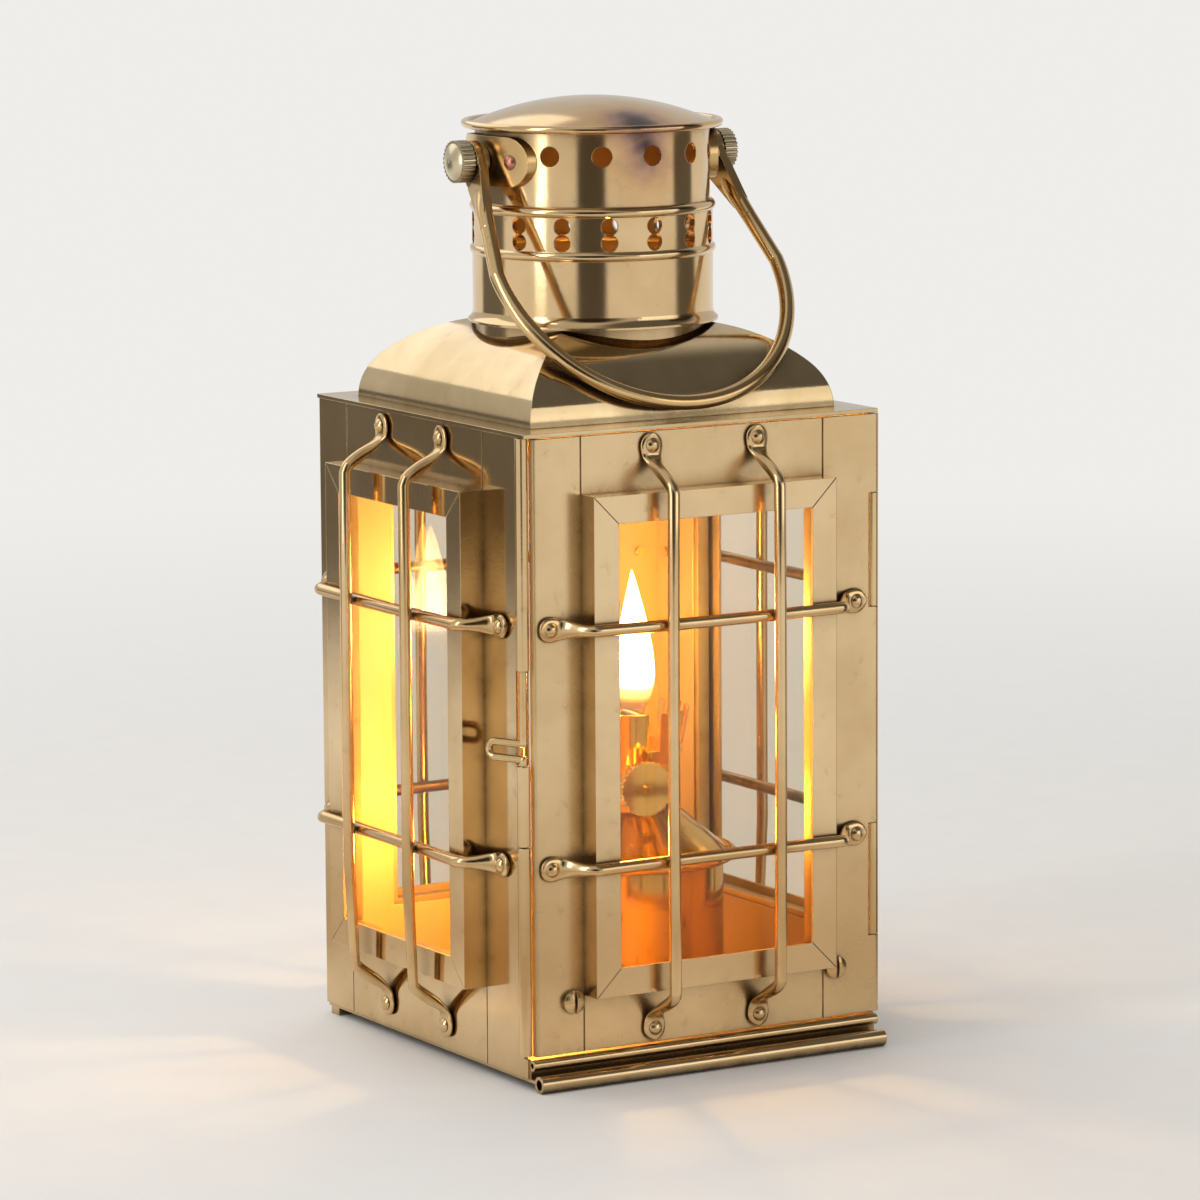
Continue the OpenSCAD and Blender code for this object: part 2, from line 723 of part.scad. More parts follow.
// The chimney drum, with paired vents between the beads and a row of ports under the cap
module drum() {
    wall = drum_r - top_r + 4 * sheet;
    color(brass) difference() {
        translate([0, 0, drum_z]) rotate_extrude() drum_section();
        for (i = [0 : vents - 1])
            round_drum(i * 360 / vents, drum_z + (low_bead + high_bead) / 2) linear_extrude(height = wall) union()
                for (side = [-1, 1]) translate([0, side * vent_pair / 2]) circle(r = vent_r);
        for (i = [0 : ports - 1], a = i * 360 / ports)
            if (clear_of_brackets(a > 180 ? a - 360 : a)) drum_hole(a, drum_z + port_z, port_r);
        for (side = [-1, 1], end = [-1, 1])
            drum_hole(side * 90 + end * asin(strap_pitch / strap_x), axle_z, rivet_r);
    }
}

// The cap: a shallow dome with a rolled rim, seated on the drum
module cap() {
    seat_r = cap_r - cap_rim;
    dome_r = (seat_r * seat_r + cap_rise * cap_rise) / (2 * cap_rise);
    color(brass) translate([0, 0, rim_z]) rotate_extrude() {
        difference() {
            translate([0, cap_rise - dome_r]) circle(r = dome_r, $fn = 256);
            translate([0, cap_rise - dome_r - sheet]) circle(r = dome_r, $fn = 256);
            translate([-2 * dome_r, -3 * dome_r]) square([2 * dome_r, 6 * dome_r]);
            translate([0, -3 * dome_r]) square([2 * dome_r, 3 * dome_r]);
        }
        translate([top_r - 3 * sheet, 0]) square([seat_r - top_r + 3 * sheet, sheet]);
        translate([seat_r, sheet / 2]) circle(r = cap_rim);
    }
}

// A bracket strap bent round the drum, with round ends
module bracket(side) {
    color(brass) difference() {
        intersection() {
            translate([0, 0, axle_z - strap_h / 2]) cylinder(r = strap_x, h = strap_h);
            translate([0, 0, axle_z]) rotate([0, side * 90, 0]) linear_extrude(height = 2 * drum_r) union() {
                square([strap_h, strap_w - strap_h], center = true);
                for (y = [-1, 1])
                    translate([0, y * (strap_w - strap_h) / 2]) circle(r = strap_h / 2);
            }
        }
        translate([0, 0, axle_z - strap_h]) cylinder(r = top_r, h = 2 * strap_h);
        translate([0, 0, axle_z]) rotate([0, side * 90, 0]) cylinder(r = stud_r, h = 2 * drum_r);
        for (end = [-1, 1])
            drum_hole(side * 90 + end * asin(strap_pitch / strap_x), axle_z, rivet_r);
    }
}

module bracket_rivets() {
    inner = top_r - sheet;
    tail_r = tail_spread * rivet_r;
    // Hollow of the drum's curved inner face under a flat tail
    sag = inner - sqrt(inner * inner - tail_r * tail_r);
    color(brass) for (side = [-1, 1], end = [-1, 1])
        translate([0, 0, axle_z]) rotate([0, 0, side * 90 + end * asin(strap_pitch / strap_x)])
            translate([0, -top_r, 0]) rotate([0, 0, 180]) rivet(strap_t, sheet + sag + eps);
}

// A pivot stud riveted through its strap, with a shoulder for the bail's eye
module stud(side) {
    color(brass) translate([0, 0, axle_z]) rotate([0, side * 90, 0]) {
        translate([0, 0, top_r + eps]) cylinder(r = stud_r, h = knob_x + knob_t - knob_face - clear - top_r - eps);
        translate([0, 0, strap_x]) cylinder(r = 2 * stud_r, h = stud_flange);
    }
}

// A knurled knob with a domed face, running on the end of its stud
module knob(side) {
    rim = knob_t - knob_dome;
    face_r = knob_r - 2 * knurl_r;
    ball = (face_r * face_r + knob_dome * knob_dome) / (2 * knob_dome);
    color(brass) translate([0, 0, axle_z]) rotate([0, side * 90, 0]) translate([0, 0, knob_x])
        difference() {
            union() {
                difference() {
                    cylinder(r = knob_r, h = rim);
                    for (i = [0 : knurls - 1])
                        rotate([0, 0, i * 360 / knurls]) translate([knob_r, 0, -1])
                            cylinder(r = knurl_r, h = rim + 2);
                }
                intersection() {
                    translate([0, 0, knob_t - ball]) sphere(r = ball);
                    translate([0, 0, rim]) cylinder(r = knob_r, h = knob_t);
                }
            }
            translate([0, 0, -knob_face]) cylinder(r = stud_r + fit, h = knob_t);
        }
}

// The bail: a bowed rod with two splayed arms and flattened eyes
module bail() {
    eye_mid = eye_x + bail_eye_t / 2;
    color(brass) translate([0, 0, axle_z]) rotate([-bail_lean, 0, 0]) difference() {
        union() {
            for (side = [-1, 1]) {
                translate([side * eye_mid, 0, 0]) rotate([0, 90, 0])
                    cylinder(r = bail_eye_r, h = bail_eye_t, center = true);
                splay(side, [eye_mid, -bail_eye_r + bail_r / 2], [bow_r, bow_z]);
                translate([side * bow_r, 0, bow_z]) sphere(r = bail_r);
            }
            translate([0, 0, bow_z]) rotate([-90, 0, 0]) rotate_extrude(angle = 180)
                translate([bow_r, 0]) circle(r = bail_r);
        }
        rotate([0, 90, 0]) cylinder(r = stud_r + fit, h = 4 * drum_r, center = true);
        for (side = [-1, 1]) bail_trim(side, eye_mid);
    }
}

// One splayed arm of the bail in the plane y = 0: a flat blade that narrows from the eye, then the rod
module splay(side, p, q) {
    d = q - p;
    root = bail_eye_r - bail_r / 2;
    mirror([side > 0 ? 0 : 1, 0, 0]) translate([p[0], 0, p[1]]) rotate([0, atan2(d[0], d[1]), 0]) {
        translate([-bail_eye_t / 2, 0, 0]) rotate([90, 0, 90]) linear_extrude(height = bail_eye_t)
            polygon([[-bail_eye_r + eps, -root], [bail_eye_r - eps, -root], [bail_r, blade_l], [-bail_r, blade_l]]);
        translate([0, 0, blade_l - bail_r]) cylinder(r = bail_r, h = norm(d) - blade_l + bail_r);
    }
}

// Keeps the arm's root within the thickness of the eye
module bail_trim(side, eye_mid) {
    for (face = [-1, 1])
        translate([side * eye_mid + face * (bail_eye_t / 2 + bail_eye_r), 0, 0])
            cube([2 * bail_eye_r, 3 * bail_eye_r, 2 * (knob_r + clear)], center = true);
}

// Puts a lamp part on the lamp's axis, turned as the lamp stands
module on_lamp() {
    translate([lamp_x, lamp_y, 0]) rotate([0, 0, lamp_turn]) children();
}

// The oil font: a drawn cup with a rounded foot
module font() {
    color(brass) on_lamp() difference() {
        union() {
            translate([0, 0, floor_z + font_foot]) cylinder(r = font_r, h = font_h - font_foot);
            translate([0, 0, floor_z]) cylinder(r = font_r - font_foot, h = font_h);
            translate([0, 0, floor_z + font_foot]) rotate_extrude()
                translate([font_r - font_foot, 0]) circle(r = font_foot);
        }
        translate([0, 0, floor_z + font_foot]) cylinder(r = font_r - sheet, h = font_h);
        translate([0, 0, floor_z + sheet]) cylinder(r = font_r - font_foot, h = font_h);
    }
}

// The font's top: a rolled brim and a conical shoulder, fitted over the cup's mouth
module font_top() {
    color(brass) on_lamp() difference() {
        union() {
            translate([0, 0, brim_z]) rotate_extrude() translate([brim_r - brim_roll, 0]) circle(r = brim_roll);
            translate([0, 0, brim_z - brim_roll]) cylinder(r = brim_r - brim_roll, h = brim_roll);
            translate([0, 0, brim_z]) cylinder(r1 = brim_r - brim_roll, r2 = collar_r, h = cone_rise);
        }
        translate([0, 0, brim_z - brim_roll - eps])
            cylinder(r1 = brim_r - 3 * brim_roll - sheet, r2 = collar_r - 2 * sheet, h = cone_rise + brim_roll);
        translate([0, 0, brim_z]) cylinder(r = collar_r - 2 * sheet, h = 2 * cone_rise);
    }
}

module burner_collar() {
    color(brass) on_lamp() difference() {
        translate([0, 0, collar_z]) cylinder(r = collar_r, h = collar_h);
        translate([0, 0, collar_z - 1]) cylinder(r = collar_r - 2 * sheet, h = collar_h + 2);
    }
}

// The burner cup: bearings for the spindle in its wall and a deck that holds the wick tube
module burner_cup() {
    color(brass) on_lamp() difference() {
        translate([0, 0, cup_z]) cylinder(r = cup_r, h = cup_h);
        translate([0, 0, cup_z + sheet]) cylinder(r = cup_r - sheet, h = cup_h - 2 * sheet);
        translate([0, 0, cup_z - 1]) cylinder(r = collar_r - 2 * sheet, h = cup_h - 2 * sheet);
        translate([0, 0, deck_z]) wick_box(wick_tube_wall + wick_gap, cup_h);
        translate([spindle_x, 0, spindle_z]) rotate([90, 0, 0])
            cylinder(r = spindle_r + fit, h = 4 * cup_r, center = true);
    }
}

// A block round the wick's section, grown by a margin, standing at mid height
module wick_box(margin, h) {
    cube([wick_t + 2 * margin, wick_w + 2 * margin, h], center = true);
}

module wick_tube() {
    low = deck_z - sheet;
    color(brass) on_lamp() translate([0, 0, (low + tube_top) / 2]) difference() {
        wick_box(wick_tube_wall + wick_gap, tube_top - low);
        wick_box(wick_gap, 2 * tube_top);
    }
}

// The gallery: a ring of prongs that spread from the cup
module gallery() {
    color(brass) on_lamp() translate([0, 0, deck_z]) difference() {
        cylinder(r1 = cup_r, r2 = cup_r + prong_out, h = prong_h);
        translate([0, 0, -eps]) cylinder(r1 = cup_r - sheet, r2 = cup_r + prong_out - sheet, h = prong_h + 2 * eps);
        for (i = [0 : prongs - 1]) rotate([0, 0, i * 360 / prongs])
            translate([0, -prong_slot / 2, prong_h / 4]) cube([2 * cup_r, prong_slot, prong_h]);
    }
}

// The winder's spindle runs in both walls of the cup and carries the sprockets and the thumbwheel
module spindle() {
    back = cup_r - sheet / 2;
    color(brass) on_lamp() translate([spindle_x, back, spindle_z]) rotate([90, 0, 0])
        cylinder(r = spindle_r, h = back + wheel_reach + wheel_t + spindle_tip);
}

module sprockets() {
    color(brass) on_lamp() for (y = [-1, 1])
        translate([spindle_x, y * wick_w / 4 + sprocket_t / 2, spindle_z]) rotate([90, 0, 0])
            difference() {
                cylinder(r = sprocket_r, h = sprocket_t);
                translate([0, 0, -1]) cylinder(r = spindle_r, h = sprocket_t + 2);
                for (i = [0 : teeth - 1]) rotate([0, 0, (i + 0.5) * 360 / teeth])
                    translate([sprocket_r, 0, -1]) cylinder(r = tooth_gap, h = sprocket_t + 2);
            }
}

// The thumbwheel: a disc with a milled edge on the spindle's end
module thumbwheel() {
    color(brass) on_lamp() translate([spindle_x, -wheel_reach, spindle_z]) rotate([90, 0, 0])
        difference() {
            cylinder(r = wheel_r, h = wheel_t);
            translate([0, 0, -1]) cylinder(r = spindle_r, h = wheel_t + 2);
            for (i = [0 : knurls - 1]) rotate([0, 0, i * 360 / knurls])
                translate([wheel_r, 0, -1]) cylinder(r = knurl_r, h = wheel_t + 2);
        }
}

// The wick hangs from its tube into the font
module wick() {
    low = floor_z + sheet + wick_drop + clear;
    high = tube_top + wick_show;
    color(cotton) on_lamp() translate([0, 0, (low + high) / 2]) wick_box(0, high - low);
}

floor_plate();
front_sill();
left_wall();
right_wall();
rear_wall();
on_side("left") window_frame();  // left_frame
on_side("right") window_frame();  // right_frame
on_side("rear") window_frame();  // rear_frame
on_side("left") window_pane();  // left_pane
on_side("right") window_pane();  // right_pane
on_side("rear") window_pane();  // rear_pane
on_side("left") glazing_strip();  // left_glazing
on_side("right") glazing_strip();  // right_glazing
on_side("rear") glazing_strip();  // rear_glazing
on_side("left") uprights(wall_eye_low);  // left_uprights
on_side("right") uprights(wall_eye_low);  // right_uprights
on_side("rear") uprights(wall_eye_low);  // rear_uprights
on_side("left") crossbars();  // left_crossbars
on_side("right") crossbars();  // right_crossbars
on_side("rear") crossbars();  // rear_crossbars
on_side("left") guard_rivets(wall_eye_low);  // left_rivets
on_side("right") guard_rivets(wall_eye_low);  // right_rivets
on_side("rear") guard_rivets(wall_eye_low);  // rear_rivets
top_plate();
hood();
drum();
cap();
bracket(-1);  // left_bracket
bracket(1);  // right_bracket
bracket_rivets();
stud(-1);  // left_stud
stud(1);  // right_stud
hinge_pin();
font();
font_top();
burner_collar();
burner_cup();
gallery();
wick_tube();
door_leaf();
on_side("door") window_frame();  // door_frame
on_side("door") window_pane();  // door_pane
on_side("door") glazing_strip();  // door_glazing
on_side("door") uprights(door_eye_low);  // door_uprights
on_side("door") crossbars();  // door_crossbars
on_side("door") guard_rivets(door_eye_low);  // door_rivets
door_screws();
catch();
bail();
knob(-1);  // left_knob
knob(1);  // right_knob
spindle();
sprockets();
thumbwheel();
wick();
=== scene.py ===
import math

import bmesh
import bpy
from mathutils import Matrix, Vector


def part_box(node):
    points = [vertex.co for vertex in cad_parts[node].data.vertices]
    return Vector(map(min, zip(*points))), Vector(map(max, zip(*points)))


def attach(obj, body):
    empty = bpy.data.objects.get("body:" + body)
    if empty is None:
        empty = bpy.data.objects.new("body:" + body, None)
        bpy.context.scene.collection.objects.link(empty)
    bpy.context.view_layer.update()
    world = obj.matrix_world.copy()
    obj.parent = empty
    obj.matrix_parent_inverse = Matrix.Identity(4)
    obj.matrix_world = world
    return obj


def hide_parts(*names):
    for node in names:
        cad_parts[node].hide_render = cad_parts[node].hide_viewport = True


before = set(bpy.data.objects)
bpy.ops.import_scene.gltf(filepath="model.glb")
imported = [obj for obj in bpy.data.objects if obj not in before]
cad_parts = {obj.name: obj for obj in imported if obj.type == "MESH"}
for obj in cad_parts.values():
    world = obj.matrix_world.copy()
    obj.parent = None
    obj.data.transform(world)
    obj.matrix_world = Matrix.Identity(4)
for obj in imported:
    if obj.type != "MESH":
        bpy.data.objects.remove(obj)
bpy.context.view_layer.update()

scene = bpy.context.scene
scene.view_settings.view_transform = "Standard"

# The camera stands before the left front corner, a little above the middle of the case,
# with a long lens, as worked out from the corners and round edges in the photograph.
azimuth, elevation, roll = math.radians(-30.61), math.radians(8.55), math.radians(-0.36)
aim_height, aim_right, aim_up, eye_distance = 0.120, 0.00126, -0.01028, 1.46986
focal_pixels, photo_pixels, sensor = 5855.95, 1200, 36
back = Vector((math.sin(azimuth) * math.cos(elevation), -math.cos(azimuth) * math.cos(elevation),
               math.sin(elevation)))
right = Vector((math.cos(azimuth), math.sin(azimuth), 0))
up = back.cross(right)
aim = Vector((0, 0, aim_height)) + right * aim_right + up * aim_up
eye = aim + back * eye_distance
level = right * math.cos(roll) + up * math.sin(roll)
upright = up * math.cos(roll) - right * math.sin(roll)
camera = bpy.data.objects.new("camera", bpy.data.cameras.new("camera"))
camera.data.sensor_fit = "HORIZONTAL"
camera.data.sensor_width = sensor
camera.data.lens = focal_pixels * sensor / photo_pixels
camera.matrix_world = Matrix((
    (level.x, upright.x, back.x, eye.x),
    (level.y, upright.y, back.y, eye.y),
    (level.z, upright.z, back.z, eye.z),
    (0, 0, 0, 1)))
scene.collection.objects.link(camera)
scene.camera = camera


class Tone:
    """A socket of a shader, on which arithmetic adds Math nodes."""

    def __init__(self, socket):
        self.socket = socket

    def node(self, kind, settings=None, sockets=None, out=0):
        """One output of a new node beside this one, with its settings and its sockets filled in."""
        made = self.socket.id_data.nodes.new(kind)
        for key, value in (settings or {}).items():
            setattr(made, key, value)
        for key, value in (sockets or {}).items():
            if isinstance(value, Tone):
                made.id_data.links.new(value.socket, made.inputs[key])
            else:
                made.inputs[key].default_value = value
        return Tone(made.outputs[out])

    def maths(self, operation, *values):
        return self.node("ShaderNodeMath", {"operation": operation}, dict(enumerate(values)))

    def vector(self, operation, *values, out="Vector"):
        return self.node("ShaderNodeVectorMath", {"operation": operation}, dict(enumerate(values)), out)

    def __add__(self, other):
        return self.maths("ADD", self, other)

    def __sub__(self, other):
        return self.maths("SUBTRACT", self, other)

    def __rsub__(self, other):
        return self.maths("SUBTRACT", other, self)

    def __mul__(self, other):
        return self.maths("MULTIPLY", self, other)

    def __truediv__(self, other):
        return self.maths("DIVIDE", self, other)

    def __pow__(self, other):
        return self.maths("POWER", self, other)

    def __abs__(self):
        return self.maths("ABSOLUTE", self)

    __radd__, __rmul__ = __add__, __mul__

    def least(self, other):
        return self.maths("MINIMUM", self, other)

    def most(self, other):
        return self.maths("MAXIMUM", self, other)

    def rise(self, low, high):
        """0 below low, 1 above high, smooth between."""
        return self.node("ShaderNodeMapRange", {"interpolation_type": "SMOOTHSTEP"},
                         {"Value": self, "From Min": low, "From Max": high})

    def noise(self, scale, detail=2.0, roughness=0.5):
        return self.node("ShaderNodeTexNoise", {}, {"Vector": self, "Scale": scale, "Detail": detail,
                                                   "Roughness": roughness})

    def blend(self, low, high):
        """A colour between two colours, by this value."""
        return self.node("ShaderNodeMix", {"data_type": "RGBA"}, {"Factor": self, 6: low, 7: high}, 2)

    def ramp(self, *stops):
        """A colour that runs through stops, each a place and a colour, by this value."""
        colour = self.node("ShaderNodeValToRGB", {}, {"Fac": self}, "Color")
        elements = colour.socket.node.color_ramp.elements
        while len(elements) < len(stops):
            elements.new(0.5)
        for element, (place, stop) in zip(elements, stops):
            element.position, element.color = place, (*stop, 1)
        return colour

    def axis(self, name):
        return self.node("ShaderNodeSeparateXYZ", {}, {"Vector": self}, name)


def shader(name):
    """A new material with its Principled shader, and the Object coordinates that its patterns read."""
    material = bpy.data.materials.new(name)
    material.use_nodes = True
    tree = material.node_tree
    coordinates = tree.nodes.new("ShaderNodeTexCoord")
    return material, tree.nodes["Principled BSDF"], Tone(coordinates.outputs["Object"])


def feed(node, **sockets):
    """Sets or links the named sockets of a shader, with _ for a space in a name."""
    for key, value in sockets.items():
        socket = node.inputs[key.replace("_", " ")]
        if isinstance(value, Tone):
            node.id_data.links.new(value.socket, socket)
        else:
            socket.default_value = value


def mix(tree, share, first, second):
    """A Mix Shader of two shaders, with the second's share given."""
    mixed = tree.nodes.new("ShaderNodeMixShader")
    tree.links.new(share.socket, mixed.inputs[0])
    tree.links.new(first.outputs[0], mixed.inputs[1])
    tree.links.new(second.outputs[0], mixed.inputs[2])
    return mixed


def show(tree, surface):
    """Makes a shader the one that a material shows."""
    tree.links.new(surface.outputs[0], tree.nodes["Material Output"].inputs[0])


# The floor is a pale matt sheet that runs out of the picture. Near the lantern it takes light and shadow.
# Further off it glows as plain pale ground. What the brass mirrors of it is a painted reflection: painted
# dark strips towards the photographer and the sides, and painted brown shade close by.
paper, paper_shader, place = shader("pale_floor")
away = place.vector("LENGTH", place, out="Value")
grain = place.noise(60, 3)
feed(paper_shader, Base_Color=grain.blend((0.80, 0.79, 0.77, 1), (0.84, 0.83, 0.81, 1)), Roughness=0.8,
     Specular_IOR_Level=0.2)


def lobe(place, direction, low, high):
    """1 where a place lies in a direction from the lantern, 0 well off it."""
    unit = place.vector("NORMALIZE", place)
    return place.vector("DOT_PRODUCT", unit, Vector(direction).normalized(), out="Value").rise(low, high)


def flags(place, *strips):
    """How dark the strips round the set are.

    Each strip is given by its turn from the camera and its half width, in degrees, and its depth."""
    flat = place.vector("MULTIPLY", place, (1, 1, 0))
    dark = 0
    for turn, half, depth in strips:
        middle = Matrix.Rotation(math.radians(turn), 3, "Z") @ Vector((back.x, back.y, 0))
        low, high = math.cos(math.radians(half + 2)), math.cos(math.radians(half - 3))
        dark = dark + depth * lobe(flat, middle, low, high)
    return dark


def ray(tree, kind):
    """1 for rays of a kind."""
    return Tone(tree.nodes.new("ShaderNodeLightPath").outputs["Is %s Ray" % kind])


tree = paper.node_tree
# Painted reflection colours: the near floor that the brass mirrors is painted brown, and the strips painted
# near black.
backdrop, painted_near_brown, painted_flag_black = (0.86, 0.85, 0.83, 1), (0.58, 0.48, 0.37, 1), (0.05, 0.04, 0.03, 1)
front_flag, right_flag, left_flag = (-1, 14, 0.95), (100, 14, 0.9), (-112, 19, 0.85)
seen_fade, mirrored_fade, brown_fade = (0.22, 1.1), (0.08, 0.20), (0.14, 0.5)
front_fade, left_fade = (0.75, 1.1), (0.45, 0.95)
mirrored = ray(tree, "Glossy")
seen = ray(tree, "Camera").most(ray(tree, "Transmission"))
plain = (seen * away.rise(*seen_fade)).most(mirrored * away.rise(*mirrored_fade))
dim = (flags(place, right_flag) + flags(place, front_flag) * away.rise(*front_fade)
       + flags(place, left_flag) * away.rise(*left_fade)) * mirrored
ground = (mirrored * (1 - away.rise(*brown_fade))).blend(backdrop, painted_near_brown)
pale = tree.nodes.new("ShaderNodeEmission")
feed(pale, Color=dim.blend(ground, painted_flag_black))
show(tree, mix(tree, plain, paper_shader, pale))
sheet = bmesh.new()
bmesh.ops.create_grid(sheet, x_segments=1, y_segments=1, size=14)
floor = bpy.data.objects.new("floor", bpy.data.meshes.new("floor"))
sheet.to_mesh(floor.data)
sheet.free()
floor.data.materials.append(paper)
scene.collection.objects.link(floor)

# Soft studio light: a pale room, dark where the photographer stands and overhead, with a broad key from
# the right front, a long strip from the left, a soft panel behind and a lid overhead that the brass
# doesn't mirror.
room = bpy.data.worlds.new("room")
scene.world = room
room.use_nodes = True
tree = room.node_tree
toward = Tone(tree.nodes.new("ShaderNodeTexCoord").outputs["Generated"])
room_pale, room_dark, overhead = (0.62, 0.61, 0.595, 1), (0.03, 0.025, 0.02, 1), (0.50, -0.45, 0.72)
dark = lobe(toward, back, 0.80, 0.97) * 0.9 + lobe(toward, overhead, 0.68, 0.88) * 0.82
dark = dark + flags(toward, front_flag, right_flag) * (1 - toward.axis("Z").rise(0.2, 0.7))
shade = dark.least(1).blend(room_pale, room_dark)
feed(tree.nodes["Background"], Color=ray(tree, "Camera").blend(shade, backdrop))
lit_middle = Vector((0, 0, 0.11))
for name, spot, size, power, colour in (
        ("key", (0.85, -1.2, 0.50), (1.2, 0.55), 2.4, (1.0, 0.97, 0.92)),
        ("strip", (-0.95, -0.15, 0.55), (0.22, 1.0), 2.5, (0.97, 0.98, 1.0)),
        ("panel", (-0.25, 1.0, 0.9), (1.4, 0.8), 3, (1.0, 0.99, 0.97)),
        ("lid", (0.0, 0.1, 1.6), (1.6, 1.6), 10, (1.0, 0.99, 0.98))):
    lamp = bpy.data.lights.new(name, "AREA")
    lamp.shape = "RECTANGLE"
    lamp.size, lamp.size_y = size
    lamp.energy, lamp.color = power, colour
    lamp_object = bpy.data.objects.new(name, lamp)
    lamp_object.location = spot
    lamp_object.rotation_euler = (Vector(spot) - lit_middle).to_track_quat("Z", "Y").to_euler()
    lamp_object.visible_glossy = name != "lid"
    scene.collection.objects.link(lamp_object)


def brass(name, colour, deep, rough=0.06, wave=0.4, marks=1.0, inner=None,
          lining=(0.80, 0.60, 0.29, 1), dull=0.0):
    """Polished brass: clouded colour, grime and painted shade in the corners, worn gloss, wavy sheet and
    softened edges.

    Where the inner mask is 1 the metal is unpolished and has the lining's colour, as the inside of a
    lantern has. Dull is the share of the surface that is film in place of bare metal."""
    material, surface, place = shader(name)
    tarnish, soil_and_shade = (0.34, 0.20, 0.075, 1), (0.085, 0.05, 0.02, 1)
    corner_reach, edge_radius, swell_depth = 0.005, 0.00028, 0.0008
    cloud = place.noise(26, 4, 0.6)
    spots = place.noise(210, 3, 0.65)
    fine = place.noise(1500, 2)
    # Ambient occlusion darkens corners, seams and gaps towards the soil colour: partly real grime, partly
    # painted shade.
    ao = place.node("ShaderNodeAmbientOcclusion", {"samples": 4}, {"Distance": corner_reach}, "AO")
    grime_and_shade = (1 - ao.rise(0.30, 0.90)) * (0.45 + spots * 0.8) * marks
    tone = cloud.rise(0.30, 0.72).blend(colour, deep)
    tone = (spots.rise(0.60, 0.80) * 0.30 * marks).blend(tone, tarnish)
    tone = (grime_and_shade * 0.85).least(0.88).blend(tone, soil_and_shade)
    gloss = rough + cloud.rise(0.35, 0.75) * 0.05 + spots.rise(0.55, 0.8) * 0.07 * marks
    gloss = gloss + grime_and_shade * 0.25 + fine * 0.02
    metal = 1 - dull
    if inner:
        inside = inner(place)
        tone = inside.blend(tone, lining)
        gloss = gloss + inside * 0.5
        metal = metal - inside * 0.12
    edge = place.node("ShaderNodeBevel", {"samples": 4}, {"Radius": edge_radius})
    swell = place.noise(21, 2, 0.45) * wave + spots * 0.03 * marks + fine * 0.012
    bump = place.node("ShaderNodeBump", {}, {"Strength": 0.35, "Distance": swell_depth, "Height": swell,
                                             "Normal": edge})
    feed(surface, Base_Color=tone, Metallic=metal, Roughness=gloss, Normal=bump)
    return material


def dress(material, *nodes):
    """Gives CAD nodes a material."""
    for node in nodes:
        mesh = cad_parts[node].data
        mesh.materials.clear()
        mesh.materials.append(material)


# The floor plate, the sill, the three fixed walls and the door's leaf are cut from thin brass sheet, folded
# and soldered. The sheet is hand-polished, so it is slightly wavy, with grime and painted shade darkening
# the seams and the ground around the rivets. The door is handled more than the walls, and is satin.
sheet_thickness, floor_top, hair = 0.0008, 0.00277, 1e-5


def within_walls(place):
    """1 on the faces that look into the case."""
    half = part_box("rear_wall")[1].y - sheet_thickness / 2
    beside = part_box("top_plate")[1].x - sheet_thickness
    off = abs(place.axis("X")).rise(beside - hair, beside + hair)
    ends = abs(place.axis("Y")).rise(half - hair, half + hair)
    return (1 - off) * (1 - ends) * place.axis("Z").rise(floor_top - 2 * hair, floor_top + 2 * hair)


sheet_brass = brass("sheet_brass", (0.79, 0.585, 0.33, 1), (0.64, 0.445, 0.22, 1), inner=within_walls)
dress(sheet_brass, "floor_plate", "front_sill", "left_wall", "right_wall", "rear_wall")
leaf_brass = brass("leaf_brass", (0.79, 0.585, 0.33, 1), (0.66, 0.465, 0.24, 1), rough=0.22,
                   inner=within_walls)
dress(leaf_brass, "door_leaf")


# The window frames are folded from heavier strip with mitred corners, and a glazing strip behind each pane
# holds it in. The frames are flatter and brighter than the sheet, apart from the door's, which is satin too.
# The strips are dull, as nobody polishes them.
def within_frames(place):
    """1 on a frame's faces that look towards the middle of the case."""
    looks = place.node("ShaderNodeNewGeometry", out="Normal")
    looks = looks.node("ShaderNodeVectorTransform", {"vector_type": "NORMAL", "convert_from": "WORLD",
                                                     "convert_to": "OBJECT"}, {"Vector": looks})
    middle = (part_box("left_frame")[0].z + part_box("left_frame")[1].z) / 2
    off = place.vector("SUBTRACT", place, (0, 0, middle))
    return 1 - off.vector("DOT_PRODUCT", looks, off, out="Value").rise(-1e-4, 1e-4)


frame_brass = brass("frame_brass", (0.83, 0.62, 0.36, 1), (0.68, 0.48, 0.25, 1), rough=0.055, wave=0.22,
                    inner=within_frames)
dress(frame_brass, "left_frame", "right_frame", "rear_frame")
door_brass = brass("door_brass", (0.83, 0.62, 0.36, 1), (0.70, 0.50, 0.27, 1), rough=0.17, wave=0.22,
                   inner=within_frames)
dress(door_brass, "door_frame")
strip_brass = brass("strip_brass", (0.84, 0.61, 0.24, 1), (0.70, 0.47, 0.16, 1), rough=0.36, wave=0.3,
                    dull=0.12)
dress(strip_brass, "left_glazing", "right_glazing", "rear_glazing", "door_glazing")

# The panes are clear sheet glass, loose in their frames, with a thin film of dust and lamp smoke.
# The warm tint of what shows through them is partly that smoke and partly painted warm glow of the flame's
# light.
# They mirror most at a slant, as glass does.
pane_glass, film, place = shader("pane_glass")
tree = pane_glass.node_tree
smoke = place.noise(140, 4, 0.65).rise(0.4, 0.85)
feed(film, Base_Color=(0.75, 0.56, 0.32, 1), Roughness=0.9, Specular_IOR_Level=0.0)
clear = tree.nodes.new("ShaderNodeBsdfTransparent")
